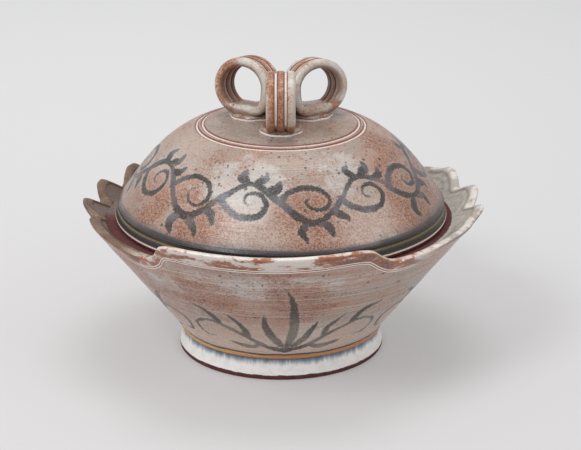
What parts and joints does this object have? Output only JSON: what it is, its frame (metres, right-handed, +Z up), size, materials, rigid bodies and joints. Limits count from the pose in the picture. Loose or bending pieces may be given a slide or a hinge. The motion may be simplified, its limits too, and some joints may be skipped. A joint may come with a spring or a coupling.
{
  "type": "lidded bowl",
  "caption": "Stoneware bowl with a flared conical wall, scalloped rim and finger-cut side lugs on a foot ring, with a domed lift-off lid carried by upright grooved strap loops.",
  "frame": {"origin": "on the surface it stands on, under the middle of the foot ring", "axes": "+Z up along the thrown axis; the lugs lie towards +X and -X; the front panel of the rim faces -Y"},
  "size_m": [0.292, 0.3056, 0.2163],
  "materials": {
    "bowl_glaze": "semi-matt mottled grey-beige stoneware glaze with rust blotches, dark specks and throwing lines",
    "foot_glaze": "semi-matt white glaze band with an orange line over it and a bare maroon clay edge below",
    "lid_glaze": "semi-matt mottled grey-beige glaze with rust blotches, incised rings and a charcoal band at the edge",
    "strap_glaze": "semi-matt orange-brown glaze breaking grey on the ribs, cream in the grooves",
    "collar_glaze": "semi-matt pale grey-beige glaze, pooled white at the foot"
  },
  "bodies": {
    "bowl": {"bowl_body": "bowl_glaze", "foot_ring": "foot_glaze"},
    "lid": {"lid_dome": "lid_glaze", "strap_loop_front": "strap_glaze", "strap_loop_right": "strap_glaze", "strap_loop_left": "strap_glaze", "loop_collar_front": "collar_glaze", "loop_collar_right": "collar_glaze", "loop_collar_left": "collar_glaze"}
  },
  "joints": [
    {"name": "lid_lift", "type": "slide", "parent": "bowl", "child": "lid", "axis": [0, 0, 1], "range_m": [0, 0.15]}
  ]
}
